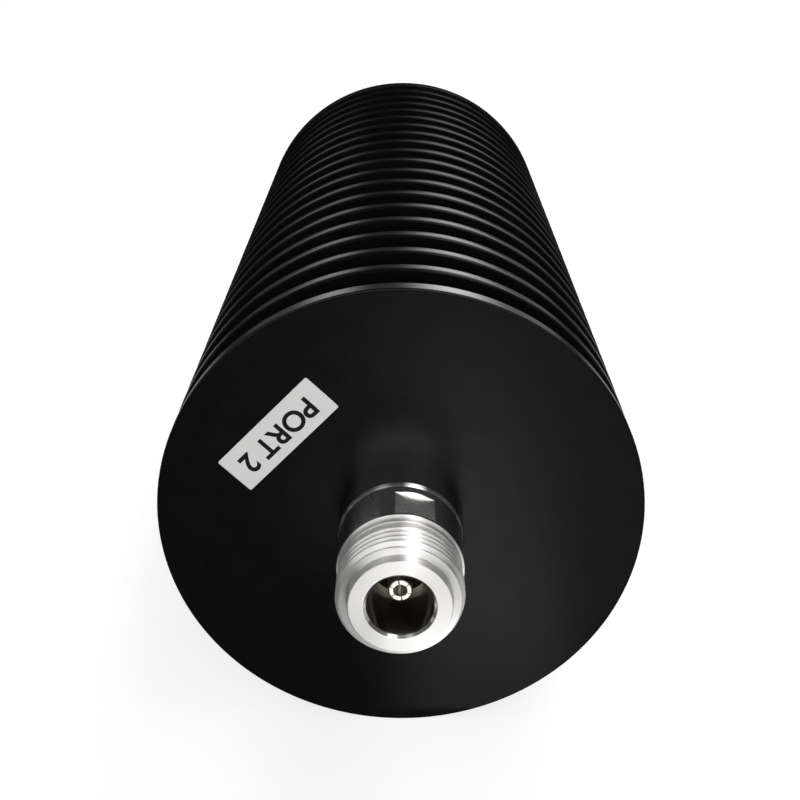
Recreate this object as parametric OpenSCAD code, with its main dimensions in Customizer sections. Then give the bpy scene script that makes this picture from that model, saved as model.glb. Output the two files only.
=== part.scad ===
// High-power coaxial attenuator: a finned round body with a threaded jack on each end.
// It lies on its side. The axis runs along Y, and the output end faces -Y.
// The origin is the centre of the body on its axis.
// Each module is drawn along +Z, with the output end up, and lay() turns it down onto the Y axis.

/* [Finned body] */
// Radius of the fins and of the end plates
fin_r = 33; // [29:0.5:38]
// Thickness of one fin
fin_t = 2.4; // [2:0.1:3]
// Distance from one fin to the next
fin_pitch = 8; // [7:0.25:9]
// Number of fins between the end plates
fin_count = 18; // [14:1:22]
// Rounding of the two edges of each rim
fin_edge_r = 0.4; // [0.3:0.1:0.9]
// Fillet where a fin meets the core
fin_root_r = 1.5; // [0.5:0.25:2]
// Radius of the solid core between the fins
core_r = 20; // [17:0.5:24]
// Radius of the bore through the core
bore_r = 13; // [12.5:0.25:14]

/* [End caps] */
// Thickness of an end plate
cap_t = 2.4; // [2:0.1:4]
// Bevel round the outer edge of an end plate
cap_bevel = 0.3; // [0.1:0.05:0.6]
// Radius of the raised hub that carries the jack
hub_r = 8.4; // [8.3:0.1:12]
// Height of the raised hub
hub_h = 5.4; // [2:0.1:8]
// Length of the spigot that screws into the bore
spigot_len = 8; // [7:0.5:12]

/* [Jack shell] */
// Radius of the coupling thread, over its crests
thread_r = 7.94; // [7.9:0.01:8]
// Length of the coupling thread
thread_len = 3.7; // [3:0.1:6]
// Radius of the barrel
barrel_r = 8.1; // [8:0.05:8.2]
// Height of the low rim at the barrel's rear end
rim_h = 0.15; // [0.05:0.05:0.2]
// Length of full barrel behind the wrench flats
barrel_rear = 1.75; // [1:0.05:3]
// Length of the wrench flats
flat_len = 5.6; // [4:0.1:8]
// Distance across the wrench flats
flat_across = 15.3; // [14.8:0.1:15.8]
// Angle of the wrench flats from upright
flat_turn = 13.5; // [-45:0.5:45]
// Width of full barrel in front of the flats
collar_w = 0.45; // [0.3:0.05:1.5]
// Radius of the plain land between the barrel and the thread relief
land_r = 7.8; // [7.6:0.05:7.9]
// Length of that land
land_len = 1.15; // [0.5:0.05:2]
// Radius of the thread relief
relief_r = 7; // [6.8:0.05:7.4]
// Width of the thread relief
relief_w = 1.2; // [0.8:0.1:2]
// Radius of the plain nose in front of the thread
nose_r = 6.4; // [6:0.05:6.8]
// Length of the plain nose
nose_len = 1.5; // [1:0.1:3]
// Radius of the mouth that takes the plug
mouth_r = 4.1; // [4:0.05:4.3]
// Depth of the mouth, from the front face to the reference plane
mouth_depth = 9.1; // [9:0.05:9.4]
// Radius of the rear stub that screws into the hub
stub_r = 6.35; // [6:0.05:6.8]
// Length of the rear stub
stub_len = 12; // [11:0.25:13]

/* [Centre conductor] */
// Radius of the centre conductor
line_r = 1.52; // [1.4:0.01:1.6]
// Radius of the hole in the socket
socket_r = 0.8; // [0.7:0.01:0.9]
// Depth of the hole in the socket
socket_depth = 5.5; // [5:0.1:7]
// Distance from the jack's front face back to the socket's tip
tip_recess = 3.7; // [3:0.1:4.5]
// Number of saw cuts across the socket, each of which opens two spring slots
slot_cuts = 3; // [2:1:4]
// Turn of the first cut about the axis
slot_turn = 39; // [0:1:59]
// Width of the spring slots in the socket
slot_w = 0.1; // [0.08:0.02:0.3]
// Length of the spring slots
slot_len = 4.2; // [3:0.1:5]
// Radius of the neck that an insulating bead grips
neck_r = 1.2; // [1.1:0.05:1.3]
// Thickness of an insulating bead
bead_t = 4; // [3:0.25:5]
// Radius of the stud that joins the socket to its line
stud_r = 0.75; // [0.6:0.05:0.85]
// Length of that stud
stud_len = 3; // [2:0.25:4]
// Length of the flat tongue at the line's inner end
tongue_len = 3; // [2.5:0.25:4]

/* [Carrier] */
// Distance of the line bead from the carrier's end
line_bead_in = 12; // [8:0.5:16]
// Distance of the carrier screws from the axis
screw_x = 8.5; // [8:0.1:9]
// Distance of the inner screws from the middle of the carrier
screw_inner = 20; // [16:1:24]
// Distance of the outer screws from the middle of the carrier
screw_outer = 46; // [38:1:48]
// Height of the screw seats above the parting plane
screw_seat = 3; // [2.5:0.1:3.2]
// Length of a carrier screw under its head
screw_len = 9; // [7:0.5:10]

/* [Attenuator chip] */
// Width of the copper flange, across the line
chip_w = 20; // [19:0.5:21]
// Length of the copper flange, along the line
chip_len = 14; // [13:0.5:16]
// Thickness of the copper flange
chip_t = 3; // [2.5:0.1:3.5]
// Room between the ceramic plate and the head of a chip screw
plate_room = 0.8; // [0.4:0.1:1.4]
// Length of the ceramic plate
plate_len = 12; // [11:0.25:12.5]
// Thickness of the ceramic plate
plate_t = 1.5; // [1:0.1:2]
// Margin between the resistive film and the long edges of the ceramic plate
film_margin = 1; // [0.5:0.25:2]
// Thickness of the resistive film with its glaze
film_t = 0.05; // [0.03:0.01:0.1]
// Length of the ceramic lid
lid_len = 6; // [5:0.25:7]
// Thickness of the ceramic lid
lid_t = 1.2; // [0.8:0.1:2]
// Width of the connecting tabs
tab_w = 1.6; // [1:0.1:2]
// Thickness of the connecting tabs
tab_t = 0.2; // [0.1:0.05:0.3]

/* [Small screws] */
// Radius of a screw's shank
shank_r = 1.25; // [1:0.05:1.4]
// Radius of a screw's head
head_r = 2.2; // [2:0.05:2.3]
// Height of a screw's head
head_h = 2.5; // [2:0.1:2.8]
// Width of the hexagon socket, across its flats
hex_w = 2; // [1.5:0.1:2.2]

/* [Label] */
// Length of the label
label_len = 17.2; // [12:0.1:20]
// Width of the label
label_w = 5.9; // [4:0.1:8]
// Thickness of the label
label_t = 0.12; // [0.08:0.01:0.3]
// Distance of the label's centre in from the plate's rim
label_in = 12.4; // [11:0.1:14]
// Angle of the label's centre round the plate, from +X
label_round = 142; // [0:1:359]
// Angle of the label's long side, from +X
label_turn = 45.8; // [0:0.2:180]

/* [Hidden] */
$fn = 96;

// Clearances: between threads or sliding fits, and at the blind end of a hole
fit = 0.03;
end_gap = 0.3;
// Small bevels that break an edge
edge = 0.25;
lead = 0.4;
// Overcut that keeps a cut clear of the face that it opens
over = 1;

// A 50 ohm line keeps the ratio exp(50 * sqrt(permittivity) / 60) between outer and inner radius
line_ohm = 50;
bead_permittivity = 2.1;
channel_r = line_r * exp(line_ohm / 60);
bead_r = neck_r * exp(line_ohm * sqrt(bead_permittivity) / 60);

// Stations along the axis, from the middle of the body
core_len = (fin_count + 1) * fin_pitch - cap_t;
core_end = core_len / 2;
plate_face = core_end + cap_t;
hub_face = plate_face + hub_h;
carrier_end = core_end - spigot_len;

// Stations along the jack, from its seat on the hub
rim_r = barrel_r + rim_h;
flats_start = barrel_rear;
land_start = flats_start + flat_len + collar_w;
relief_start = land_start + land_len;
thread_start = relief_start + relief_w;
thread_end = thread_start + thread_len;
thread_bevel = (thread_r - nose_r) / 2;
jack_h = thread_end + thread_bevel + nose_len;
mouth_floor = jack_h - mouth_depth;
tip = jack_h - tip_recess;
bead_front = mouth_floor - 2 * line_r;
bead_back = bead_front - bead_t;

// The bush runs from the bead to the stub's end, and the socket ends at the bush's middle
contact_end = bead_back - line_r;

// Heights in the chip's stack, with the tabs resting on the parting plane
film_low = -film_t;
plate_low = film_low - plate_t;
chip_low = plate_low - chip_t;
pocket_top = lid_t + head_h;

// The chip's pocket, where the line ends, and the two ends of a tab
pocket_gap = 0.2;
pocket_half = chip_len / 2 + pocket_gap;
line_stop = pocket_half;
tab_start = lid_len / 2 + pocket_gap;
tab_end = line_stop + tongue_len - pocket_gap;

// The chip screws stand at the flange's ends, reach through it and go as far again into the base
chip_screw_x = chip_w / 2 - head_r - end_gap;
chip_screw_len = 2 * chip_t;

// The ceramic plate fills the room between the screw heads
plate_w = 2 * (chip_screw_x - head_r - plate_room);
film_w = plate_w - 2 * film_margin;

label_out = fin_r - label_in;

module lay()
    rotate([90, 0, 0]) children();

// Sets a module of the output end at the input end as well
module at_input()
    mirror([0, 0, 1]) children();

// One fin in section: a flat web, a rim with two round edges and two fillets at its root
module fin_section() {
    rim = fin_r - fin_edge_r;
    translate([core_r - over, -fin_t / 2]) square([rim - core_r + over, fin_t]);
    translate([rim - over, -fin_t / 2 + fin_edge_r]) square([fin_edge_r + over, fin_t - 2 * fin_edge_r]);
    for (side = [-1, 1]) {
        translate([rim, side * (fin_t / 2 - fin_edge_r)]) circle(r = fin_edge_r);
        difference() {
            translate([core_r - over, side > 0 ? fin_t / 2 : -fin_t / 2 - fin_root_r])
                square([fin_root_r + over, fin_root_r]);
            translate([core_r + fin_root_r, side * (fin_t / 2 + fin_root_r)]) circle(r = fin_root_r);
        }
    }
}

module heat_sink()
    color([0.06, 0.06, 0.065]) lay() rotate_extrude() {
        polygon([
            [bore_r + lead, -core_end], [core_r, -core_end], [core_r, core_end], [bore_r + lead, core_end],
            [bore_r, core_end - lead], [bore_r, -core_end + lead]
        ]);
        for (i = [0 : fin_count - 1])
            translate([0, (i - (fin_count - 1) / 2) * fin_pitch]) fin_section();
    }

// The plate, the hub and the spigot are one turned piece
module end_cap() {
    floor_z = hub_face - stub_len - end_gap;
    spigot_r = bore_r - fit;
    rotate_extrude() polygon([
        [channel_r, carrier_end], [spigot_r - lead, carrier_end], [spigot_r, carrier_end + lead],
        [spigot_r, core_end], [fin_r - cap_bevel, core_end], [fin_r, core_end + cap_bevel],
        [fin_r, plate_face - cap_bevel], [fin_r - cap_bevel, plate_face],
        [hub_r, plate_face], [hub_r, hub_face - edge], [hub_r - edge, hub_face],
        [stub_r + fit + edge, hub_face], [stub_r + fit, hub_face - edge],
        [stub_r + fit, floor_z], [channel_r, floor_z]
    ]);
}

module output_end_cap()
    color([0.06, 0.06, 0.065]) lay() end_cap();

module input_end_cap()
    color([0.06, 0.06, 0.065]) lay() at_input() end_cap();

module wrench_flats()
    for (side = [0, 180])
        rotate([0, 0, -flat_turn + side])
            translate([-barrel_r - over, flat_across / 2, flats_start])
                cube([2 * (barrel_r + over), barrel_r, flat_len]);

module jack()
    translate([0, 0, hub_face]) difference() {
        rotate_extrude() polygon([
            [bead_r, -stub_len], [stub_r - lead, -stub_len], [stub_r, -stub_len + lead], [stub_r, 0],
            [rim_r, 0], [rim_r, rim_h], [barrel_r, 2 * rim_h],
            [barrel_r, land_start], [land_r, land_start],
            [land_r, relief_start - edge], [land_r - edge, relief_start],
            [relief_r, relief_start], [relief_r, thread_start], [thread_r - lead, thread_start],
            [thread_r, thread_start + lead], [thread_r, thread_end], [nose_r, thread_end + thread_bevel],
            [nose_r, jack_h - edge], [nose_r - edge, jack_h], [mouth_r + lead, jack_h],
            [mouth_r, jack_h - lead], [mouth_r, mouth_floor], [channel_r, mouth_floor],
            [channel_r, bead_front], [bead_r, bead_front]
        ]);
        wrench_flats();
    }

module output_jack()
    color([0.82, 0.82, 0.8]) lay() jack();

module input_jack()
    color([0.82, 0.82, 0.8]) lay() at_input() jack();

// A slotted socket, a neck for the bead and a stud for the line
module contact()
    translate([0, 0, hub_face]) difference() {
        rotate_extrude() polygon([
            [0, contact_end - stud_len], [stud_r, contact_end - stud_len], [stud_r, contact_end],
            [line_r, contact_end], [line_r, bead_back], [neck_r, bead_back], [neck_r, bead_front],
            [line_r, bead_front], [line_r, tip - edge], [line_r - edge, tip],
            [socket_r + edge / 2, tip], [socket_r, tip - edge / 2],
            [socket_r, tip - socket_depth], [0, tip - socket_depth]
        ]);
        for (cut = [0 : slot_cuts - 1])
            rotate([0, 0, slot_turn + cut * 180 / slot_cuts])
                translate([-line_r - over, -slot_w / 2, tip - slot_len])
                    cube([2 * (line_r + over), slot_w, slot_len + over]);
    }

module output_contact()
    color([0.85, 0.7, 0.35]) lay() contact();

module input_contact()
    color([0.85, 0.7, 0.35]) lay() at_input() contact();

module ring(outer_r, inner_r, low, high)
    translate([0, 0, low]) difference() {
        cylinder(r = outer_r, h = high - low);
        translate([0, 0, -over]) cylinder(r = inner_r, h = high - low + 2 * over);
    }

module bead()
    translate([0, 0, hub_face]) ring(bead_r, neck_r, bead_back, bead_front);

module output_bead()
    color([0.2, 0.12, 0.07]) lay() bead();

module input_bead()
    color([0.2, 0.12, 0.07]) lay() at_input() bead();

module bush()
    translate([0, 0, hub_face]) ring(bead_r, channel_r, -stub_len, bead_back);

module output_bush()
    color([0.8, 0.7, 0.4]) lay() bush();

module input_bush()
    color([0.8, 0.7, 0.4]) lay() at_input() bush();

// A round bar with a threaded hole at its outer end, a neck for its bead and a flat tongue
module line() {
    top = hub_face + contact_end;
    bead_top = carrier_end - line_bead_in;
    difference() {
        rotate_extrude() polygon([
            [0, line_stop], [line_r, line_stop], [line_r, bead_top - bead_t], [neck_r, bead_top - bead_t],
            [neck_r, bead_top], [line_r, bead_top], [line_r, top], [stud_r + fit, top],
            [stud_r + fit, top - stud_len - end_gap], [0, top - stud_len - end_gap]
        ]);
        translate([-line_r - over, 0, line_stop - over])
            cube([2 * (line_r + over), line_r + over, tongue_len + over]);
    }
}

module output_line()
    color([0.85, 0.8, 0.65]) lay() line();

module input_line()
    color([0.85, 0.8, 0.65]) lay() at_input() line();

module line_bead()
    ring(bead_r, neck_r, carrier_end - line_bead_in - bead_t, carrier_end - line_bead_in);

module output_line_bead()
    color("white") lay() line_bead();

module input_line_bead()
    color("white") lay() at_input() line_bead();

// Places of the carrier screws: two rows of four
module at_carrier_screws()
    for (x = [-screw_x, screw_x], z = [-screw_outer, -screw_inner, screw_inner, screw_outer])
        translate([x, screw_seat, z]) rotate([-90, 0, 0]) children();

// Places of the chip screws, on the copper flange
module at_chip_screws()
    for (x = [-chip_screw_x, chip_screw_x])
        translate([x, plate_low, 0]) rotate([-90, 0, 0]) children();

// A cap screw with its seat at z = 0 and its head above
module cap_screw(length)
    difference() {
        union() {
            translate([0, 0, -length]) cylinder(r = shank_r, h = length);
            cylinder(r = head_r, h = head_h);
        }
        translate([0, 0, head_h / 2]) cylinder(r = hex_w / sqrt(3), h = head_h, $fn = 6);
    }

// Half of the carrier: side is -1 for the base and 1 for the cover
module carrier_half(side) {
    carrier_r = bore_r - fit;
    bead_low = carrier_end - line_bead_in - bead_t;
    difference() {
        translate([0, 0, -carrier_end]) cylinder(r = carrier_r, h = 2 * carrier_end);
        translate([-carrier_r - over, side > 0 ? -carrier_r - over : 0, -carrier_end - over])
            cube([2 * (carrier_r + over), carrier_r + over, 2 * (carrier_end + over)]);
        translate([0, 0, -carrier_end - over]) cylinder(r = channel_r, h = 2 * (carrier_end + over));
        for (end = [-1, 1])
            translate([0, 0, end > 0 ? bead_low : -bead_low - bead_t]) cylinder(r = bead_r + fit, h = bead_t);
        translate([-chip_w / 2 - pocket_gap, side > 0 ? -over : chip_low, -pocket_half])
            cube([chip_w + 2 * pocket_gap, side > 0 ? over + pocket_top : over - chip_low, 2 * pocket_half]);
        at_carrier_screws() {
            cylinder(r = head_r + end_gap, h = carrier_r);
            translate([0, 0, -screw_len - end_gap]) cylinder(r = shank_r + fit, h = screw_len + 2 * end_gap);
        }
        if (side < 0)
            at_chip_screws() translate([0, 0, -chip_screw_len - end_gap])
                cylinder(r = shank_r + fit, h = chip_screw_len + end_gap);
    }
}

module carrier_base()
    color([0.75, 0.76, 0.78]) lay() carrier_half(-1);

module carrier_cover()
    color([0.78, 0.79, 0.8]) lay() carrier_half(1);

module carrier_screws()
    color([0.6, 0.6, 0.62]) lay() at_carrier_screws() cap_screw(screw_len);

module chip_flange()
    color([0.8, 0.45, 0.3]) lay() difference() {
        translate([-chip_w / 2, chip_low, -chip_len / 2]) cube([chip_w, chip_t, chip_len]);
        at_chip_screws() translate([0, 0, -chip_t - over])
            cylinder(r = shank_r + end_gap / 2, h = chip_t + 2 * over);
    }

module chip_substrate()
    color([0.92, 0.92, 0.88]) lay()
        translate([-plate_w / 2, plate_low, -plate_len / 2]) cube([plate_w, plate_t, plate_len]);

module resistor_film()
    color([0.15, 0.2, 0.15]) lay()
        translate([-film_w / 2, film_low, -plate_len / 2]) cube([film_w, film_t, plate_len]);

module chip_lid()
    color([0.95, 0.95, 0.93]) lay()
        translate([-plate_w / 2, 0, -lid_len / 2]) cube([plate_w, lid_t, lid_len]);

// A ribbon that lies on the film at one end and on the line's tongue at the other
module tab()
    translate([-tab_w / 2, 0, tab_start]) cube([tab_w, tab_t, tab_end - tab_start]);

module output_tab()
    color([0.88, 0.88, 0.86]) lay() tab();

module input_tab()
    color([0.88, 0.88, 0.86]) lay() at_input() tab();

module chip_screws()
    color([0.6, 0.6, 0.62]) lay() at_chip_screws() cap_screw(chip_screw_len);

// A thin label stuck on the output plate
module output_label()
    color([0.82, 0.83, 0.84]) lay()
        translate([label_out * cos(label_round), label_out * sin(label_round), plate_face])
            rotate([0, 0, label_turn])
                translate([-label_len / 2, -label_w / 2, 0]) cube([label_len, label_w, label_t]);

heat_sink();
output_end_cap();
input_end_cap();
output_jack();
input_jack();
output_contact();
input_contact();
output_bead();
input_bead();
output_bush();
input_bush();
output_line();
input_line();
output_line_bead();
input_line_bead();
carrier_base();
carrier_cover();
carrier_screws();
chip_flange();
chip_substrate();
resistor_film();
chip_lid();
output_tab();
input_tab();
chip_screws();
output_label();
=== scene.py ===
import math

import bpy
import numpy as np
from mathutils import Matrix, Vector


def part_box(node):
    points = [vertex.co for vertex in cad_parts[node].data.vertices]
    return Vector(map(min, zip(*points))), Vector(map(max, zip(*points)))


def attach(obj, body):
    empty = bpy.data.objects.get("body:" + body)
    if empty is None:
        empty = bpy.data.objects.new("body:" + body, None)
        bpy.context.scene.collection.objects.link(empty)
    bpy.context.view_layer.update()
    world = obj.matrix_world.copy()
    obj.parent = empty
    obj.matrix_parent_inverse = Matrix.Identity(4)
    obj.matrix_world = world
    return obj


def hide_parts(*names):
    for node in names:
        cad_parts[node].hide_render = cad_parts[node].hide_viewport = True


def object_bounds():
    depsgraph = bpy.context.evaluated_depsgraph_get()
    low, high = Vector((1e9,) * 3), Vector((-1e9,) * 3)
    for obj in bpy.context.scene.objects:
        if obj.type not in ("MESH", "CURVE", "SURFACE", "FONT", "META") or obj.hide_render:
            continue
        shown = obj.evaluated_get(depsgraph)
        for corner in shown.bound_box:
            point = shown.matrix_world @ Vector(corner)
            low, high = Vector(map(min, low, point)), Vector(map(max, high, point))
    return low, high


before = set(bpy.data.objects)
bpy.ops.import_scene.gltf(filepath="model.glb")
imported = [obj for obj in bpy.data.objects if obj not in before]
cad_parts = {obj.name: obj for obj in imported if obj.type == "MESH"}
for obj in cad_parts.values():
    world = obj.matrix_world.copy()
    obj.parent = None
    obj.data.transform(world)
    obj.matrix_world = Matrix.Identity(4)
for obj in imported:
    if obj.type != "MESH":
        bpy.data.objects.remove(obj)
cad_low, cad_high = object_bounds()
MM = 0.001

# Camera: it looks down on the output end, as in the photograph.
# It sits in millimetres from the middle of the part, and its pitch, yaw and roll are in degrees.
camera_place = (0.12, -226.55, 82.62)
camera_pitch = -23.478
camera_yaw = 0.118
camera_roll = 0.288
camera = bpy.data.objects.new("camera", bpy.data.cameras.new("camera"))
camera.matrix_world = (
    Matrix.Translation([place * MM for place in camera_place])
    @ Matrix.Rotation(math.radians(camera_yaw), 4, "Z")
    @ Matrix.Rotation(math.radians(90 + camera_pitch), 4, "X")
    @ Matrix.Rotation(math.radians(camera_roll), 4, "Z"))
camera.data.lens = 56.43
camera.data.sensor_width = 36
camera.data.clip_start = 0.01
bpy.context.scene.collection.objects.link(camera)
bpy.context.scene.camera = camera
bpy.context.scene.view_settings.view_transform = "Standard"


# Floor: white paper, on which the part lies.
# For the camera it glows a little, so that it stays white and keeps a faint shadow.
def node(tree, kind, *links, **settings):
    """Adds a shader node. Each link is an (input, source), where the source is another node's output or a
    plain value."""
    made = tree.nodes.new(kind)
    for name, value in settings.items():
        setattr(made, name, value)
    for name, source in links:
        if isinstance(source, bpy.types.NodeSocket):
            tree.links.new(source, made.inputs[name])
        else:
            made.inputs[name].default_value = source
    return made


def maths(tree, operation, *values):
    """One step of arithmetic on sockets or plain numbers, named by its operation."""
    return node(tree, "ShaderNodeMath", *enumerate(values), operation=operation).outputs[0]


def ramp(tree, value, places, levels, shape="LINEAR"):
    """The first level where the value is at the first place, the second level at the second place, and a
    straight line between them, or with SMOOTHSTEP an S. Beyond the two places the level stays."""
    made = node(tree, "ShaderNodeMapRange", ("Value", value),
                ("From Min", places[0]), ("From Max", places[1]),
                ("To Min", levels[0]), ("To Max", levels[1]), interpolation_type=shape)
    return made.outputs["Result"]


def studio_material(name):
    """A new material without a shader. Returns it with its node tree and the place on the object."""
    made = bpy.data.materials.new(name)
    made.use_nodes = True
    tree = made.node_tree
    tree.nodes.clear()
    return made, tree, node(tree, "ShaderNodeTexCoord").outputs["Object"]


def paper():
    """White paper: a diffuse surface, with a glow that only camera rays see. Far behind the part its tone
    falls, so that the rims mirror a dark room there, and the glow makes up for that."""
    made, tree, where = studio_material("studio paper")
    grain = node(tree, "ShaderNodeTexNoise", ("Vector", where), ("Scale", paper_grain)).outputs["Fac"]
    tone = ramp(tree, grain, (0, 1), (paper_tone * (1 - paper_wander), paper_tone * (1 + paper_wander)))
    along = node(tree, "ShaderNodeSeparateXYZ", (0, where)).outputs["Y"]
    near = ramp(tree, along, (paper_fades * MM, paper_faded * MM), (1, far_share), "SMOOTHSTEP")
    diffuse = node(tree, "ShaderNodeBsdfDiffuse", ("Color", maths(tree, "MULTIPLY", tone, near)))
    level = ramp(tree, near, (far_share, 1), (far_glow, near_glow))
    seen = node(tree, "ShaderNodeLightPath").outputs["Is Camera Ray"]
    glow = node(tree, "ShaderNodeEmission", ("Strength", maths(tree, "MULTIPLY", seen, level)))
    both = node(tree, "ShaderNodeAddShader", (0, diffuse.outputs[0]), (1, glow.outputs[0]))
    node(tree, "ShaderNodeOutputMaterial", ("Surface", both.outputs[0]))
    return made


def sheet(name, corners, material):
    """A flat sheet of the studio through four corners, in metres."""
    mesh = bpy.data.meshes.new(name)
    mesh.from_pydata(corners, [], [(0, 1, 2, 3)])
    mesh.materials.append(material)
    made = bpy.data.objects.new(name, mesh)
    bpy.context.scene.collection.objects.link(made)
    return made


paper_grain = 40
paper_tone = 0.4
paper_wander = 0.02
paper_fades = 150
paper_faded = 450
far_share = 0.1
near_glow = 0.77
far_glow = 1
floor_half = 4
floor = sheet("floor", [
    (-floor_half, -floor_half, cad_low.z), (floor_half, -floor_half, cad_low.z),
    (floor_half, floor_half, cad_low.z), (-floor_half, floor_half, cad_low.z)], paper())


# Light tent: the room's light, white behind the part for the camera.
# Soft strips run along the part's axis, with strengths of their own behind, above and in front.
def mixed(tree, share, one, other, **settings):
    """The first level at share 0, the second at share 1, and a straight mix between them."""
    made = node(tree, "ShaderNodeMix", ("Factor", share), ("A", one), ("B", other), **settings)
    return made.outputs["Result"]


def light_tent():
    """The light by direction. Its azimuth is measured about the part's axis from straight up, and its slant
    from the axis behind the part, both in degrees. Behind, the strips narrow towards the axis."""
    world = bpy.data.worlds.new("light tent")
    bpy.context.scene.world = world
    world.use_nodes = True
    tree = world.node_tree
    tree.nodes.clear()
    direction = node(tree, "ShaderNodeTexCoord").outputs["Generated"]
    parts = node(tree, "ShaderNodeSeparateXYZ", (0, direction)).outputs
    azimuth = maths(tree, "DEGREES", maths(tree, "ARCTAN2", parts["X"], parts["Z"]))
    slant = maths(tree, "DEGREES", maths(tree, "ARCCOSINE", parts["Y"]))

    def strips(share, base, *each):
        """A base level plus soft strips, each with a middle azimuth, a half width and a strength. A strip's
        level falls from its strength in its middle to nothing at that share of its half width."""
        light = base
        for centre, half_width, strength in each:
            aside = maths(tree, "ABSOLUTE", maths(tree, "SUBTRACT", azimuth, centre))
            aside = maths(tree, "DIVIDE", aside, share)
            light = maths(tree, "ADD", light, ramp(tree, aside, (half_width, 0), (0, strength), "SMOOTHSTEP"))
        return light

    narrowing = ramp(tree, slant, narrow_slants, narrow_shares, "SMOOTHSTEP")
    above = ramp(tree, slant, above_slants, (0, 1), "SMOOTHSTEP")
    front = ramp(tree, slant, front_slants, (0, 1), "SMOOTHSTEP")
    back = mixed(tree, above, strips(narrowing, *tent_behind), strips(1, *tent_above))
    lit = mixed(tree, front, back, strips(1, *tent_front))
    seen = node(tree, "ShaderNodeLightPath").outputs["Is Camera Ray"]
    background = node(tree, "ShaderNodeBackground", ("Color", (1, 1, 1, 1)),
                      ("Strength", mixed(tree, seen, lit, 1)))
    node(tree, "ShaderNodeOutputWorld", ("Surface", background.outputs[0]))


tent_behind = 0.2, (29, 34, 5), (-40, 23, 1.9), (78, 30, 0.4)
tent_above = 0.08, (20, 18, 2.5), (-26, 16, 0.3)
tent_front = 1.75, (32, 34, 1), (-30, 16, 0.65), (-74, 14, 1)
narrow_slants = 7, 22
narrow_shares = 0.4, 1.05
above_slants = 30, 70
front_slants = 124, 146
light_tent()


# Rear flag: a black flag that stands upright behind the part and keeps the light there off the rims.
# Only what is glossy sees it: it is unseen by the camera, by shadows and by diffuse light.
def from_axis(tree, where):
    """The distance from the part's axis, which is the length of (x, 0, z)."""
    across = node(tree, "ShaderNodeVectorMath", (0, where), (1, (1, 0, 1)), operation="MULTIPLY").outputs[0]
    return node(tree, "ShaderNodeVectorMath", (0, across), operation="LENGTH").outputs["Value"]


def flag_cloth():
    """Black up to one distance from the axis and clear from another outward. Between them it lets through
    ((distance - dark) / (clear - dark)) ** falloff of the light."""
    made, tree, where = studio_material("rear flag")
    share = ramp(tree, from_axis(tree, where), (flag_dark * MM, flag_clear * MM), (0, 1))
    black = node(tree, "ShaderNodeEmission", ("Strength", 0))
    clear = node(tree, "ShaderNodeBsdfTransparent")
    both = node(tree, "ShaderNodeMixShader", ("Fac", maths(tree, "POWER", share, flag_falloff)),
                (1, black.outputs[0]), (2, clear.outputs[0]))
    node(tree, "ShaderNodeOutputMaterial", ("Surface", both.outputs[0]))
    return made


def only_mirrored(made):
    """Keeps a sheet from the camera, from shadows and from diffuse light."""
    made.visible_camera = False
    made.visible_shadow = False
    made.visible_diffuse = False


flag_dark = 32
flag_clear = 95
flag_falloff = 3
flag_half = 1
flag_gap = 6
sheet_lift = 0.5
flag_place = cad_high.y + flag_gap * MM
low_sheet = cad_low.z + sheet_lift * MM
flag = sheet("rear_flag", [
    (-flag_half, flag_place, low_sheet), (flag_half, flag_place, low_sheet),
    (flag_half, flag_place, flag_half), (-flag_half, flag_place, flag_half)], flag_cloth())
only_mirrored(flag)


# Front card: a low card that lies in front, for the end plate and the jack to mirror.
# Its glow is dark at the left, rises across the middle and falls again at the right, and a paler patch lies
# under the jack.
def card_glow():
    """A glow of dark + bright * band + pale * patch. The band and the patch are each a product of smooth
    steps along x and y."""
    made, tree, where = studio_material("front card")
    place = node(tree, "ShaderNodeSeparateXYZ", (0, where)).outputs

    def product(strength, *steps):
        """A strength times the level of each step, which is an (axis, places in millimetres, levels)."""
        light = strength
        for axis, (low, high), levels in steps:
            light = maths(tree, "MULTIPLY", light,
                          ramp(tree, place[axis], (low * MM, high * MM), levels, "SMOOTHSTEP"))
        return light

    band = maths(tree, "ADD", card_dark, product(card_bright, *card_band))
    level = maths(tree, "ADD", band, product(card_pale, *card_patch))
    glow = node(tree, "ShaderNodeEmission", ("Strength", level))
    node(tree, "ShaderNodeOutputMaterial", ("Surface", glow.outputs[0]))
    return made


card_dark = 0.07
card_bright = 1.65
card_pale = 1.3
card_band = (("X", (-7, 9), (0, 1)), ("X", (19, 33), (1, 0.2)),
             ("Y", (-330, -165), (0.15, 1)), ("Y", (-115, -80), (1, 0.5)))
card_patch = (("X", (-20, -10), (0, 1)), ("X", (6, 13), (1, 0)),
              ("Y", (-170, -158), (0, 1)), ("Y", (-139, -127), (1, 0)))
card_half = 0.15
card_far = -0.4
card_near = -0.079
card = sheet("front_card", [
    (-card_half, card_far, low_sheet), (card_half, card_far, low_sheet),
    (card_half, card_near, low_sheet), (-card_half, card_near, low_sheet)], card_glow())
only_mirrored(card)


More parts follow.
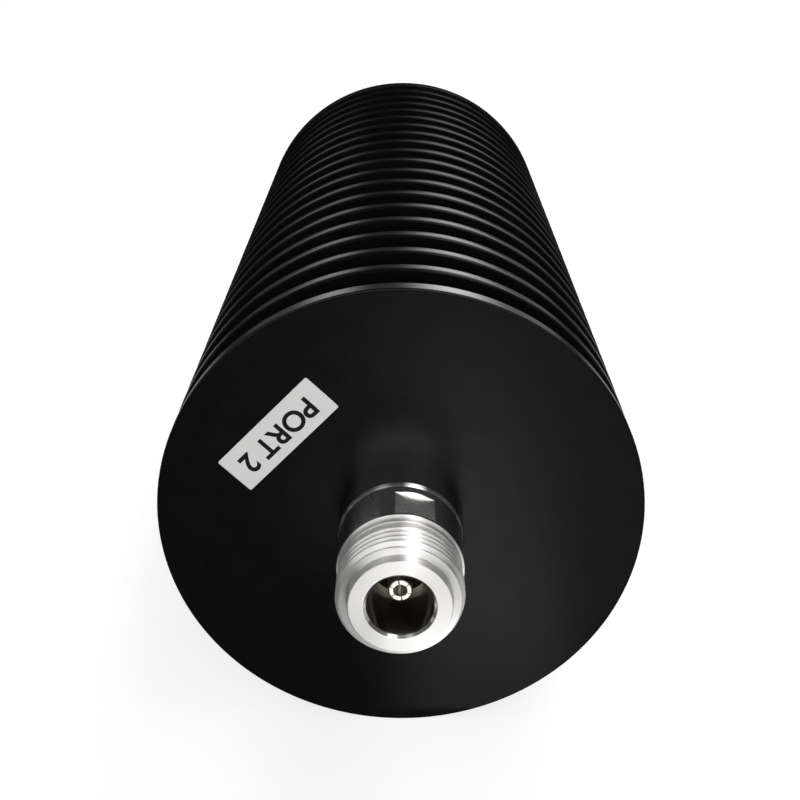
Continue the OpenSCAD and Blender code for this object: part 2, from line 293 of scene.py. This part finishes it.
# Heat sink: the body, turned from one aluminium bar and black anodised.
# Its eighteen fins stand on a thick core, and a bore runs through it for the carrier.
def rounded(corners, steps=6):
    """The closed outline through (axial, radius, rounding) corners, as complex numbers axial + radius * i.
    Each corner is cut back to where a circle of its rounding touches both of its sides, and an arc bridges
    the cut: centre + (start - centre) * exp(i * turn * share). A point just outside each end of an arc keeps
    the flat side flat in the shading. A rounding of 0 keeps the corner as it is."""
    hold = 0.1
    places = [complex(axial, radius) for axial, radius, _ in corners]
    outline = []
    for i, (_, _, rounding) in enumerate(corners):
        before, here, after = places[i - 1], places[i], places[(i + 1) % len(places)]
        if rounding == 0:
            outline.append(here)
            continue
        coming = (here - before) / abs(here - before)
        going = (after - here) / abs(after - here)
        turn = np.angle(going / coming)
        start = here - coming * rounding * math.tan(abs(turn) / 2)
        centre = start + 1j * coming * rounding * np.sign(turn)
        share = np.linspace(0, 1, steps + 1)
        arc = centre + (start - centre) * np.exp(1j * turn * share)
        outline += [start - coming * rounding * hold, *arc, arc[-1] + going * rounding * hold]
    return np.array(outline)


def turned(axial, radius, angles, side=1):
    """A turned surface: the point at axial a, radius r and angle t is (r * sin t, side * a, r * cos t).
    The radius is one number for each place along the axis, or a whole grid of them."""
    axial = axial[:, None] + 0 * angles
    radius = radius.reshape(len(axial), -1) + 0 * angles
    return np.stack([radius * np.sin(angles), side * axial, radius * np.cos(angles)], axis=-1)


def around(columns):
    """Angles at equal steps of 2 * pi / columns, once round the axis."""
    return np.linspace(0, 2 * math.pi, columns, endpoint=False)


def closed(grid, poles):
    """The points and faces of a closed grid, faces outward. The columns close on themselves. So do the rows,
    or with poles the first and the last row are each one point. The sum of each face's corner times the cross
    product of its next two has the sign of the volume, which tells whether the faces must be turned round."""
    rows, columns = grid.shape[:2]
    if poles:
        points = np.concatenate([grid[0, :1], grid[1:-1].reshape(-1, 3), grid[-1, :1]])
        index = np.arange(1, 1 + (rows - 2) * columns).reshape(rows - 2, columns)
        lower, upper = index[:-1], index[1:]
    else:
        points = grid.reshape(-1, 3)
        index = np.arange(rows * columns).reshape(rows, columns)
        lower, upper = index, np.roll(index, -1, axis=0)
    faces = np.stack([lower, np.roll(lower, -1, 1), np.roll(upper, -1, 1), upper], -1).reshape(-1, 4).tolist()
    if poles:
        first, last = index[0], index[-1]
        faces += np.stack([0 * first, np.roll(first, -1), first], -1).tolist()
        faces += np.stack([0 * last + len(points) - 1, last, np.roll(last, -1)], -1).tolist()
    corners = points[np.array([face[:3] for face in faces])]
    volume = np.einsum("ij,ij->", corners[:, 0], np.cross(corners[:, 1], corners[:, 2]))
    if volume < 0:
        faces = [face[::-1] for face in faces]
    return points, faces


def skin(name, shells, material):
    """A smooth mesh of closed shells, each a (grid of points in millimetres, whether it has poles)."""
    points, faces = [], []
    for grid, poles in shells:
        more_points, more_faces = closed(grid, poles)
        faces += [[corner + len(points) for corner in face] for face in more_faces]
        points += more_points.tolist()
    mesh = bpy.data.meshes.new(name)
    mesh.from_pydata(np.array(points) * MM, [], faces)
    mesh.shade_smooth()
    mesh.materials.append(material)
    made = bpy.data.objects.new(name, mesh)
    bpy.context.scene.collection.objects.link(made)
    return made


def part_of(made, slot, *nodes):
    """Fixes a piece to the body, in the place of these CAD nodes, which it hides. The slot is not used."""
    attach(made, "root")
    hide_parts(*nodes)


def surface(name, settings):
    """A new material and its main shader, with these constants in the shader's sockets."""
    made = bpy.data.materials.new(name)
    made.use_nodes = True
    main = made.node_tree.nodes["Principled BSDF"]
    for socket, value in settings.items():
        main.inputs[socket].default_value = value
    return made, main


def turning_marks(made, main, width, height):
    """Fine marks of the lathe: noise over (distance from the axis, place along the axis) bends the normals.
    The marks' width and height are in millimetres. Returns the distance and the place as sockets."""
    tree = made.node_tree
    where = node(tree, "ShaderNodeTexCoord").outputs["Object"]
    distance = from_axis(tree, where)
    along = node(tree, "ShaderNodeSeparateXYZ", (0, where)).outputs["Y"]
    place = node(tree, "ShaderNodeCombineXYZ", (0, distance), (1, along)).outputs[0]
    marks = node(tree, "ShaderNodeTexNoise", ("Vector", place), ("Scale", 1 / (width * MM)), ("Detail", 2))
    bump = node(tree, "ShaderNodeBump", ("Height", marks.outputs["Fac"]), ("Distance", height * MM))
    tree.links.new(bump.outputs[0], main.inputs["Normal"])
    return distance, along


def uneven(made, main, roughness, scale):
    """Lets the roughness wander between two levels in soft patches, scale of them to the metre: noise from
    0.3 to 0.7, where nearly all of it lies, goes straight from one to the other. Returns it as a socket."""
    tree = made.node_tree
    where = node(tree, "ShaderNodeTexCoord").outputs["Object"]
    patches = node(tree, "ShaderNodeTexNoise", ("Vector", where), ("Scale", scale), ("Detail", 3))
    value = ramp(tree, patches.outputs["Fac"], (0.3, 0.7), roughness)
    tree.links.new(value, main.inputs["Roughness"])
    return value


def black_anodised(name, gloss_index):
    """Satin black anodised aluminium. The rims are turned finer than the flat faces, whose roughness is
    higher by one factor. A higher refractive index of the dyed film gives more gloss."""
    made, main = surface(name, {"Base Color": anodised_black, "IOR": gloss_index})
    distance, _ = turning_marks(made, main, width=0.25, height=0.002)
    fine = uneven(made, main, roughness=(0.15, 0.19), scale=300)
    tree = made.node_tree
    coarser = ramp(tree, distance, ((rim_place - rim_blend) * MM, rim_place * MM), (face_coarseness, 1))
    tree.links.new(maths(tree, "MULTIPLY", fine, coarser), main.inputs["Roughness"])
    return made


body_radius = 33
core_radius = 20
bore_radius = 13
fin_thickness = 2.4
fin_pitch = 8
fin_count = 18
rim_rounding = 0.4
crown_radius = 1.4
crown_length = 0.8
crown_edge = 0.05
crown_rows = 6
root_rounding = 1.5
bore_lead = 0.4
end_edge = 0.2
bore_edge = 0.1
body_columns = 144
anodised_black = (0.0034, 0.0034, 0.0036, 1)
rim_place = body_radius - 0.35
rim_blend = 0.1
face_coarseness = 1.65
core_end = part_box("heat_sink")[1].y / MM
sink_corners = [(-core_end, bore_radius + bore_lead, bore_edge), (-core_end, core_radius, end_edge)]
crown_steps = np.linspace(crown_length, 0, crown_rows)
crown_drops = crown_radius - np.sqrt(crown_radius ** 2 - crown_steps ** 2)
for number in range(fin_count):
    middle = (number - (fin_count - 1) / 2) * fin_pitch
    output_side, input_side = middle - fin_thickness / 2, middle + fin_thickness / 2
    sink_corners += [(output_side, core_radius, root_rounding)]
    # The output side of the rim is crowned: its radius drops as a circle does from the top of its arc
    sink_corners += [
        (output_side + crown_length - step, body_radius - drop, crown_edge if step == crown_length else 0)
        for step, drop in zip(crown_steps, crown_drops)]
    sink_corners += [(input_side, body_radius, rim_rounding), (input_side, core_radius, root_rounding)]
sink_corners += [
    (core_end, core_radius, end_edge), (core_end, bore_radius + bore_lead, bore_edge),
    (core_end - bore_lead, bore_radius, bore_edge), (-core_end + bore_lead, bore_radius, bore_edge)]
sink_outline = rounded(sink_corners, 4)
body_angles = around(body_columns)
sink_grid = turned(sink_outline.real, sink_outline.imag, body_angles)
finned_body = skin("finned_body", [(sink_grid, False)], black_anodised("black anodised body", 1.18))
part_of(finned_body, "black_anodised", "heat_sink")

# End caps: one at each end, turned from aluminium and black anodised like the body.
# The flat plate closes the body, its spigot sits in the bore, and its hub carries the jack. The hub is kept
# bare and polished, so that the jack is grounded.
plate_thickness = 2.4
plate_rounding = 0.25
hub_radius = 8.4
hub_height = 5.4
hub_bevel_depth = 0.15
hub_bevel_length = 1.7 * hub_bevel_depth
seat_radius = 6.38
seat_depth = 12.3
channel_radius = 3.5
spigot_radius = 12.97
spigot_length = 8
plate_face = core_end + plate_thickness
hub_face = plate_face + hub_height
spigot_end = core_end - spigot_length
bare_from = plate_face + 0.05
bare, bare_main = surface("bare turned aluminium", {"Base Color": (0.48, 0.48, 0.48, 1), "Metallic": 1})
turning_marks(bare, bare_main, width=0.12, height=0.002)
uneven(bare, bare_main, roughness=(0.08, 0.14), scale=400)
plate_black = black_anodised("black anodised plate", 1.27)
cap_outline = rounded([
    (spigot_end, channel_radius, 0.1), (spigot_end, spigot_radius, 0.3), (core_end, spigot_radius, 0.05),
    (core_end, body_radius, plate_rounding), (plate_face, body_radius, plate_rounding),
    (plate_face, hub_radius, 0.04), (hub_face - hub_bevel_length, hub_radius, 0.02),
    (hub_face, hub_radius - hub_bevel_depth, 0.01), (hub_face, seat_radius, 0.2),
    (hub_face - seat_depth, seat_radius, 0.1), (hub_face - seat_depth, channel_radius, 0.1)])
for end, side in (("output", -1), ("input", 1)):
    cap_grid = turned(cap_outline.real, cap_outline.imag, body_angles, side)
    cap = skin(end + "_cap", [(cap_grid, False)], plate_black)
    cap.data.materials.append(bare)
    middles = np.zeros(len(cap.data.polygons) * 3)
    cap.data.polygons.foreach_get("center", middles)
    on_hub = np.abs(middles[1::3]) > bare_from * MM
    cap.data.polygons.foreach_set("material_index", on_hub.astype(np.int32))
    part_of(cap, "black_anodised", end + "_end_cap")


# Jacks: the threaded shells that take the plugs, turned from brass and nickel plated.
# Each has a barrel with two wrench flats, a plain land, a fine coupling thread and a plain nose.
def thread_radius(axial, angles, hand):
    """The radius on the screw thread. The place in the turn is axial / pitch - hand * angle / (2 * pi). The
    radius falls from crest to root over a flank on each side, and a bevel at each end of the thread cuts it
    off. Flank and half root are shares of the pitch."""
    root_half, flank = 0.08, 0.355
    start_depth, end_steepness = 0.4, 4
    turn = axial[:, None] / thread_pitch - hand * angles / (2 * math.pi)
    from_crest = np.abs((turn + 0.5) % 1 - 0.5)
    rise = np.clip((0.5 - root_half - from_crest) / flank, 0, 1)
    radius = thread_root + (thread_crest - thread_root) * rise
    radius = np.minimum(radius, thread_crest - start_depth + (axial[:, None] - thread_start))
    return np.minimum(radius, nose_radius + end_steepness * (nose_start - axial[:, None]))


def nickel():
    """Bright nickel plate, which shows the metal's finish. The barrel and the mouth are polished, and the
    barrel's flats are milled. On the land, the thread and the nose the lathe's ridges make it rougher, and
    spread what it mirrors along the axis. In the mouth its colour is painted darker and brownish, as painted
    shade of the deep recess."""
    made, main = surface("nickel plate", {"Base Color": nickel_colour, "Metallic": 1,
                                          "Anisotropic": 0.9, "Anisotropic Rotation": 0.25})
    distance, along = turning_marks(made, main, width=0.12, height=0.003)
    tree = made.node_tree
    outward = maths(tree, "ABSOLUTE", along)

    def across(value, place, below, above):
        """One level below a place in millimetres and another above it, with a narrow blend across it."""
        places = (place - finish_blend) * MM, (place + finish_blend) * MM
        return ramp(tree, value, places, (below, above))

    flats = (flats_place - finish_blend) * MM, flats_place * MM
    on_barrel = ramp(tree, distance, flats, (milled, polished))
    on_nose = across(distance, mouth_radius + mouth_lead, polished, ridged)
    finish = across(outward, hub_face + land_start, on_barrel, on_nose)
    tree.links.new(finish, main.inputs["Roughness"])
    # Inside the mouth the colour turns darker and brownish: painted shade of the deep recess
    colour = mixed(tree, across(distance, mouth_shade_place, 1, 0), nickel_colour, mouth_shade_colour, data_type="RGBA")
    tree.links.new(colour, main.inputs["Base Color"])
    tangent = node(tree, "ShaderNodeTangent", direction_type="RADIAL", axis="Y")
    tree.links.new(tangent.outputs[0], main.inputs["Tangent"])
    return made


thread_crest = 7.94
thread_root = 7.3
thread_pitch = 25.4 / 24
thread_length = 3.7
thread_rows = 96
jack_columns = 240
barrel_radius = 8.1
barrel_rear = 1.75
rim_height = 0.15
rim_flat = 0.04
flats_length = 5.6
flats_half = 7.65
flats_turn = math.radians(13.5)
flats_step = 0.02
collar_width = 0.45
land_radius = 7.8
land_length = 1.15
relief_radius = 7
relief_width = 1.2
nose_radius = 6.4
nose_length = 1.5
nose_step = 0.03
mouth_radius = 4.1
mouth_lead = 0.4
mouth_depth = 9.1
bead_radius = 4.01
bead_recess = 3.04
stub_radius = 6.35
stub_length = 12
flats_start = barrel_rear
flats_end = flats_start + flats_length
land_start = flats_end + collar_width
relief_start = land_start + land_length
thread_start = relief_start + relief_width
nose_start = thread_start + thread_length + (thread_crest - nose_radius) / 2
jack_end = nose_start + nose_length
mouth_floor = jack_end - mouth_depth
bead_front = mouth_floor - bead_recess
jack_corners = [
    (-stub_length, bead_radius, 0.05), (-stub_length, stub_radius, 0.3), (0, stub_radius, 0.05),
    (0, barrel_radius + rim_height, 0.01), (rim_flat, barrel_radius + rim_height, 0.01),
    (2 * rim_height, barrel_radius, 0.01)]
jack_corners += [(flats_start + step * flats_step, barrel_radius, 0) for step in (-2, -1, 0, 1)]
jack_corners += [(flats_end + step * flats_step, barrel_radius, 0) for step in (-1, 0, 1, 2)]
jack_corners += [
    (land_start, barrel_radius, 0.06), (land_start, land_radius, 0.04), (relief_start, land_radius, 0.15),
    (relief_start, relief_radius, 0.08), (thread_start, relief_radius, 0.08)]
jack_corners += [(axial, thread_crest, 0) for axial in np.linspace(thread_start, nose_start, thread_rows)]
jack_corners += [
    (nose_start + nose_step, nose_radius, 0), (jack_end, nose_radius, 0.15),
    (jack_end, mouth_radius + mouth_lead, 0.12), (jack_end - mouth_lead, mouth_radius, 0.1),
    (mouth_floor, mouth_radius, 0.05), (mouth_floor, channel_radius, 0.1),
    (bead_front, channel_radius, 0.05), (bead_front, bead_radius, 0.05)]
jack_outline = rounded(jack_corners)
nickel_colour = (0.85, 0.84, 0.82, 1)
# The darker brownish colour in the mouth is painted shade of the deep recess
mouth_shade_colour = (0.26, 0.235, 0.21, 1)
polished, milled, ridged = 0.15, 0.2, 0.4
finish_blend = 0.04
flats_place = barrel_radius - 0.02
mouth_shade_place = mouth_radius + 0.06
nickel_plate = nickel()
flat_edge = math.acos(flats_half / barrel_radius)
edge_angles = flats_turn + np.array([-flat_edge, flat_edge, math.pi - flat_edge, math.pi + flat_edge])
edge_step = 0.006
edge_angles = np.add.outer(edge_angles, (-edge_step, 0, edge_step)).ravel() % (2 * math.pi)
jack_angles = np.unique(np.concatenate([around(jack_columns), edge_angles]))
outer = jack_outline.imag > (nose_radius + relief_radius) / 2
on_thread = outer & (jack_outline.real >= thread_start) & (jack_outline.real <= nose_start)
on_flats = (outer & (jack_outline.real > flats_start - flats_step / 2)
            & (jack_outline.real < flats_end + flats_step / 2))
# A flat's radius is its distance from the axis over the cosine of the angle from its middle, which is kept
# from 0 because the barrel is round there
least_cosine = 0.1
flat_radius = flats_half / np.maximum(np.abs(np.cos(jack_angles - flats_turn)), least_cosine)
for end, side in (("output", -1), ("input", 1)):
    jack_radius = jack_outline.imag[:, None] + 0 * jack_angles
    jack_radius[on_thread] = thread_radius(jack_outline.real[on_thread], jack_angles, side)
    jack_radius[on_flats] = np.minimum(jack_radius[on_flats], flat_radius)
    jack_grid = turned(hub_face + jack_outline.real, jack_radius, jack_angles, side)
    part_of(skin(end + "_shell", [(jack_grid, False)], nickel_plate), "nickel_plate", end + "_jack")

# Contacts: the sprung centre sockets, turned from beryllium copper, slotted and gold plated.
# The fingers stand in the mouth, the neck sits in the bead, and the stud screws into the line behind.
gold_plate, gold_main = surface("gold plate", {"Base Color": (0.93, 0.88, 0.78, 1), "Metallic": 1})
turning_marks(gold_plate, gold_main, width=0.1, height=0.003)
uneven(gold_plate, gold_main, roughness=(0.25, 0.35), scale=800)
contact_radius = 1.52
socket_radius = 0.8
socket_depth = 5.5
tip_recess = 3.7
tip_outer_rounding = 0.22
tip_inner_rounding = 0.14
slot_count = 6
slot_turn = math.radians(39)
slot_width = 0.05
slot_length = 4.2
finger_root = 0.1
finger_columns = 12
shank_columns = 64
neck_radius = 1.2
bead_thickness = 4
stud_radius = 0.75
stud_length = 3
tip = jack_end - tip_recess
bead_back = bead_front - bead_thickness
contact_end = bead_back - contact_radius
slot_end = tip - slot_length
shank_outline = rounded([
    (contact_end - stud_length, 0, 0), (contact_end - stud_length, stud_radius, 0.1),
    (contact_end, stud_radius, 0.05), (contact_end, contact_radius, 0.05),
    (bead_back, contact_radius, 0.05), (bead_back, neck_radius, 0.05), (bead_front, neck_radius, 0.05),
    (bead_front, contact_radius, 0.05), (slot_end, contact_radius, 0.05), (slot_end, socket_radius, 0.05),
    (tip - socket_depth, socket_radius, 0.1), (tip - socket_depth, 0, 0)])
finger_outline = rounded([
    (slot_end - finger_root, contact_radius, 0), (tip, contact_radius, tip_outer_rounding),
    (tip, socket_radius, tip_inner_rounding), (slot_end - finger_root, socket_radius, 0)], 5)
# A finger is that outline at each place across it, between two slot walls. The angle that half a slot takes
# from it is arcsin(half the slot's width / radius), so that the walls of a slot are parallel
finger_radius = finger_outline.imag
lost_angle = np.arcsin(slot_width / 2 / finger_radius)
across_finger = np.linspace(0, 1, finger_columns)
for end, side in (("output", -1), ("input", 1)):
    shells = [(turned(hub_face + shank_outline.real, shank_outline.imag, around(shank_columns), side), True)]
    for number in range(slot_count):
        first = number * 2 * math.pi / slot_count + lost_angle
        last = (number + 1) * 2 * math.pi / slot_count - lost_angle
        angle = math.pi / 2 - slot_turn + first + np.multiply.outer(across_finger, last - first)
        loops = np.stack([finger_radius * np.sin(angle), side * (hub_face + finger_outline.real) + 0 * angle,
                          finger_radius * np.cos(angle)], axis=-1)
        middle_first = loops[0].mean(axis=0) + 0 * loops[:1]
        middle_last = loops[-1].mean(axis=0) + 0 * loops[:1]
        shells.append((np.concatenate([middle_first, loops, middle_last]), True))
    part_of(skin(end + "_socket", shells, gold_plate), "gold_plate", end + "_contact")


# Beads and bushes: each contact stands in a PTFE bead, coloured dark brown as painted shade at the bottom of
# the mouth, and a nickel-plated bush pressed in behind it holds the bead in its jack.
def dress(material, *nodes):
    """Gives that material to these CAD nodes, which keep their own mesh."""
    for name in nodes:
        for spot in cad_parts[name].material_slots:
            spot.material = material


def plain(name, colour, roughness, scale, settings=None):
    """A material of one stuff: its roughness wanders between two levels in patches, scale of them to the
    metre, and a grain eight times finer bends its normals."""
    made, main = surface(name, {"Base Color": (*colour, 1), **(settings or {})})
    uneven(made, main, roughness, scale)
    tree = made.node_tree
    where = node(tree, "ShaderNodeTexCoord").outputs["Object"]
    grain = node(tree, "ShaderNodeTexNoise", ("Vector", where), ("Scale", scale * 8), ("Detail", 2))
    bump = node(tree, "ShaderNodeBump", ("Height", grain.outputs["Fac"]), ("Distance", 0.01 * MM))
    tree.links.new(bump.outputs[0], main.inputs["Normal"])
    return made


# The beads' dark brown is painted shade at the bottom of the deep mouth
dress(plain("PTFE darkened as painted shade", (0.045, 0.024, 0.012), (0.35, 0.5), 400), "output_bead", "input_bead")
dress(nickel_plate, "output_bush", "input_bush")

# Lines: silver-plated brass rods that run from the contacts to the chip, with a tongue at the inner end.
# A waxy white PTFE bead holds each one in the middle of the carrier's channel.
metal = {"Metallic": 1}
silver = plain("silver plate", (0.86, 0.85, 0.81), (0.22, 0.34), 300, metal)
dress(silver, "output_line", "input_line")
dress(plain("white polymer", (0.86, 0.86, 0.83), (0.4, 0.55), 200, {"Subsurface Weight": 0.2}),
      "output_line_bead", "input_line_bead")

# Carrier: two half-round blocks milled from aluminium, which clamp the lines and the chip in the body's bore.
# Steel socket screws draw the halves together.
dress(plain("milled aluminium", (0.74, 0.75, 0.76), (0.28, 0.42), 250, metal),
      "carrier_base", "carrier_cover")
dress(plain("screw steel", (0.52, 0.52, 0.54), (0.3, 0.4), 500, metal), "carrier_screws", "chip_screws")

# Chip: a ceramic plate on a copper flange, screwed to the carrier.
# It carries the resistive film under a glaze, a ceramic lid over the film, and a silver ribbon to each line.
dress(plain("machined copper", (0.76, 0.4, 0.26), (0.25, 0.4), 300, metal), "chip_flange")
dress(plain("fired ceramic", (0.85, 0.85, 0.82), (0.45, 0.6), 500), "chip_substrate", "chip_lid")
dress(plain("film glaze", (0.02, 0.035, 0.025), (0.12, 0.22), 600, {"Coat Weight": 0.5}), "resistor_film")
dress(silver, "output_tab", "input_tab")

# Label: a thin silver-grey sticker on the output plate, with generic black lettering.
# It lies at a slant, up and to the left of the jack, and reads from its upper end down.
label_length = 17.2
label_width = 5.9
label_thickness = 0.12
label_rounding = 0.25
label_bevel = 0.02
label_from_rim = 12.4
label_round = math.radians(142)
label_turn = math.radians(45.8)
label_outline = rounded([(along * label_length / 2, across * label_width / 2, label_rounding)
                         for along, across in ((-1, -1), (1, -1), (1, 1), (-1, 1))])


def label_place(flat, height):
    """Points of the label's own plane, as complex numbers, on the output plate at that height above it:
    centre + point * exp(i * label_turn), where the centre is label_from_rim inside the rim at the angle
    label_round."""
    centre = (body_radius - label_from_rim) * np.exp(1j * label_round)
    placed = centre + flat * np.exp(1j * label_turn)
    return np.stack([placed.real, 0 * placed.real - plate_face - height, placed.imag], axis=-1)


# Its rows are the outline at a share of its size and at a height above the plate, from its back to its front
label_rows = ((0, 0), (0.97, 0), (1, 0), (1, label_thickness - label_bevel), (0.995, label_thickness),
              (0.97, label_thickness), (0, label_thickness))
label_grid = np.stack([label_place(share * label_outline, height) for share, height in label_rows])
label_film, film_main = surface("label film", {"Base Color": (0.8, 0.8, 0.79, 1)})
uneven(label_film, film_main, roughness=(0.38, 0.5), scale=400)
part_of(skin("label_sticker", [(label_grid, True)], label_film), "label_film", "output_label")

letter_size = 4
letter_weight = 0.1
ink_thickness = 0.006
letters = bpy.data.curves.new("label_letters", "FONT")
letters.body = "PORT 2"
letters.align_x = "CENTER"
letters.align_y = "CENTER"
letters.size = letter_size
letters.extrude = ink_thickness
letters.offset = letter_weight
letters_holder = bpy.data.objects.new("letters_holder", letters)
bpy.context.scene.collection.objects.link(letters_holder)
letters_mesh = bpy.data.meshes.new_from_object(
    letters_holder.evaluated_get(bpy.context.evaluated_depsgraph_get()))
bpy.data.objects.remove(letters_holder)
flat = np.zeros(len(letters_mesh.vertices) * 3)
letters_mesh.vertices.foreach_get("co", flat)
flat = flat.reshape(-1, 3)
letters_places = label_place(-(flat[:, 0] + 1j * flat[:, 1]), label_thickness + ink_thickness + flat[:, 2])
letters_mesh.vertices.foreach_set("co", (letters_places * MM).ravel())
ink, ink_main = surface("label ink", {"Base Color": (0.008, 0.008, 0.009, 1), "IOR": 1.25})
uneven(ink, ink_main, roughness=(0.35, 0.5), scale=500)
letters_mesh.materials.clear()
letters_mesh.materials.append(ink)
lettering = bpy.data.objects.new("label_lettering", letters_mesh)
bpy.context.scene.collection.objects.link(lettering)
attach(lettering, "root")
